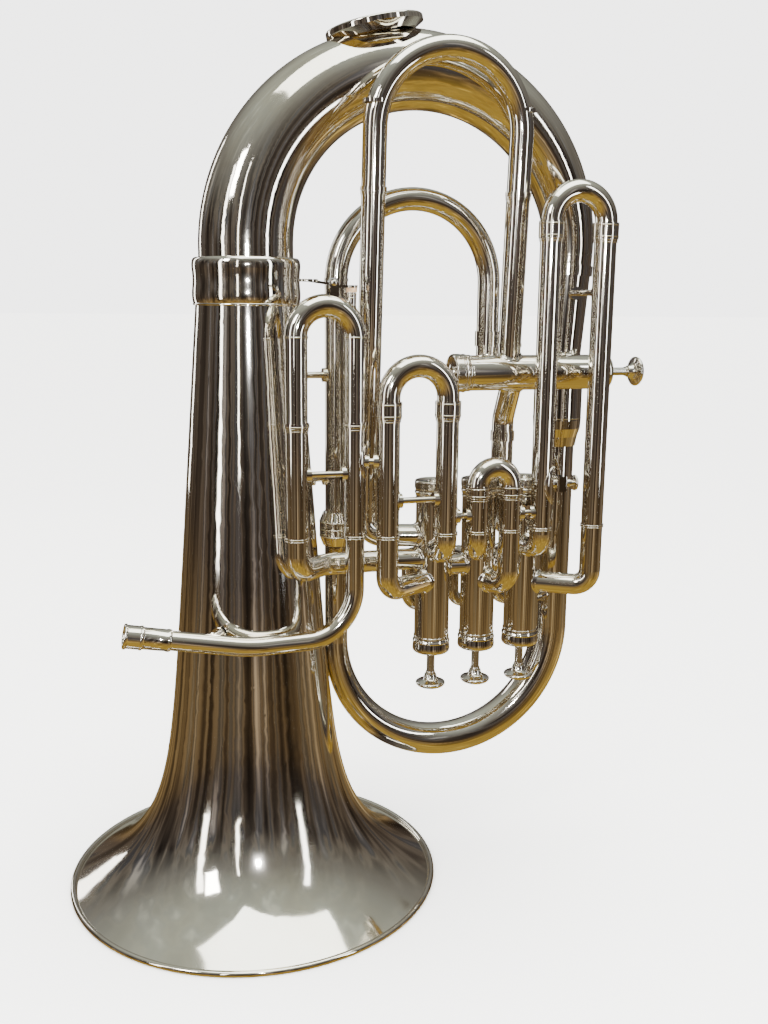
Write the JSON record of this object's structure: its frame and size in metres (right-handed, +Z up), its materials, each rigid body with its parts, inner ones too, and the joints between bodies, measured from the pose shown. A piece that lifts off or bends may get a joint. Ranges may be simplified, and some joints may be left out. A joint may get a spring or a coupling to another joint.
{
  "type": "compensating euphonium",
  "caption": "Silver-plated compensating euphonium standing on its bell, with upright piston valves, a side valve, pull slides, water key and lyre socket.",
  "frame": {"origin": "centre of the bell mouth on the floor", "axes": "+Z up along the bell axis, +X in the plane of the bows towards the tapered leg, +Y away from the valves and slides"},
  "size_m": [0.469, 0.3, 0.6797],
  "materials": {
    "silver_plate": "polished silver plate over brass",
    "slide_tube": "drawn silver-plated nickel tube, lightly greased",
    "button_metal": "polished silver plate",
    "piston_metal": "lapped monel",
    "spring_steel": "spring steel",
    "felt": "dense wool felt",
    "cork": "natural cork"
  },
  "bodies": {
    "horn": {"arch_elbow": "silver_plate", "arch_tube": "silver_plate", "bell": "silver_plate", "bell_ferrule": "silver_plate", "bell_rim_wire": "silver_plate", "body_braces": "silver_plate", "bottom_bow": "silver_plate", "bow_guard_cap": "silver_plate", "cap_felts": "felt", "compensating_tubes": "silver_plate", "leadpipe": "silver_plate", "left_leg_ferrule": "silver_plate", "leg_guard_plate": "silver_plate", "lower_bow": "silver_plate", "lyre_socket": "silver_plate", "main_slide_inlet_tube": "silver_plate", "main_slide_outlet_tube": "silver_plate", "mouthpiece_receiver": "silver_plate", "right_leg_ferrule": "silver_plate", "right_leg_tube": "silver_plate", "slide_1_outer_tubes": "silver_plate", "slide_2_outer_tubes": "silver_plate", "slide_3_outer_tubes": "silver_plate", "slide_4_outer_tubes": "silver_plate", "slide_braces": "silver_plate", "valve_bottom_caps": "silver_plate", "valve_casing_1": "silver_plate", "valve_casing_2": "silver_plate", "valve_casing_3": "silver_plate", "valve_casing_4": "silver_plate", "valve_link_tubes": "silver_plate", "valve_spring_1": "spring_steel", "valve_spring_2": "spring_steel", "valve_spring_3": "spring_steel", "valve_spring_4": "spring_steel", "valve_top_caps": "silver_plate"},
    "main_slide": {"main_slide_crook": "silver_plate", "main_slide_inner_tubes": "slide_tube", "water_key_saddle": "silver_plate"},
    "water_key": {"water_key_lever": "silver_plate", "water_key_cork": "cork"},
    "slide_1": {"slide_1_crook": "silver_plate", "slide_1_inner_tubes": "slide_tube"},
    "slide_2": {"slide_2_crook": "silver_plate", "slide_2_inner_tubes": "slide_tube"},
    "slide_3": {"slide_3_crook": "silver_plate", "slide_3_inner_tubes": "slide_tube"},
    "slide_4": {"slide_4_crook": "silver_plate", "slide_4_inner_tubes": "slide_tube"},
    "compensating_slide_1": {"compensating_slide_1": "silver_plate"},
    "compensating_slide_3": {"compensating_slide_3": "silver_plate"},
    "lyre_screw": {"lyre_screw": "silver_plate"},
    "valve_1": {"piston_1": "piston_metal", "finger_button_1": "button_metal"},
    "valve_2": {"piston_2": "piston_metal", "finger_button_2": "button_metal"},
    "valve_3": {"piston_3": "piston_metal", "finger_button_3": "button_metal"},
    "valve_4": {"piston_4": "piston_metal", "finger_button_4": "button_metal"}
  },
  "joints": [
    {"name": "valve_1_press", "type": "slide", "parent": "horn", "child": "valve_1", "axis": [0, 0, 1], "range_m": [0, 0.0175], "stiffness_N_per_m": 240, "springref_m": -0.012, "deforming": ["valve_spring_1"]},
    {"name": "valve_2_press", "type": "slide", "parent": "horn", "child": "valve_2", "axis": [0, 0, 1], "range_m": [0, 0.0175], "stiffness_N_per_m": 240, "springref_m": -0.012, "deforming": ["valve_spring_2"]},
    {"name": "valve_3_press", "type": "slide", "parent": "horn", "child": "valve_3", "axis": [0, 0, 1], "range_m": [0, 0.0175], "stiffness_N_per_m": 240, "springref_m": -0.012, "deforming": ["valve_spring_3"]},
    {"name": "valve_4_press", "type": "slide", "parent": "horn", "child": "valve_4", "axis": [-1, 0, 0], "range_m": [0, 0.0175], "stiffness_N_per_m": 240, "springref_m": -0.012, "deforming": ["valve_spring_4"]},
    {"name": "main_slide_pull", "type": "slide", "parent": "horn", "child": "main_slide", "axis": [0, 0, 1], "range_m": [0, 0.05]},
    {"name": "slide_1_pull", "type": "slide", "parent": "horn", "child": "slide_1", "axis": [0, 0, 1], "range_m": [0, 0.045]},
    {"name": "slide_2_pull", "type": "slide", "parent": "horn", "child": "slide_2", "axis": [0, 0, 1], "range_m": [0, 0.016]},
    {"name": "slide_3_pull", "type": "slide", "parent": "horn", "child": "slide_3", "axis": [0, 0, 1], "range_m": [0, 0.06]},
    {"name": "slide_4_pull", "type": "slide", "parent": "horn", "child": "slide_4", "axis": [0, -0.0666, 0.9978], "range_m": [0, 0.05]},
    {"name": "compensating_slide_1_pull", "type": "slide", "parent": "horn", "child": "compensating_slide_1", "axis": [0, 0, -1], "range_m": [0, 0.006]},
    {"name": "compensating_slide_3_pull", "type": "slide", "parent": "horn", "child": "compensating_slide_3", "axis": [0, 0, -1], "range_m": [0, 0.006]},
    {"name": "water_key_hinge", "type": "hinge", "parent": "main_slide", "child": "water_key", "pos_m": [0.052, -0.06, 0.4815], "axis": [0, -1, 0], "range_deg": [0, 12], "stiffness_Nm_per_rad": 0.03, "springref_deg": -17.19},
    {"name": "lyre_screw_turn", "type": "hinge", "parent": "horn", "child": "lyre_screw", "pos_m": [0.234, -0.068, 0.33], "axis": [1, 0, 0], "continuous": true}
  ]
}
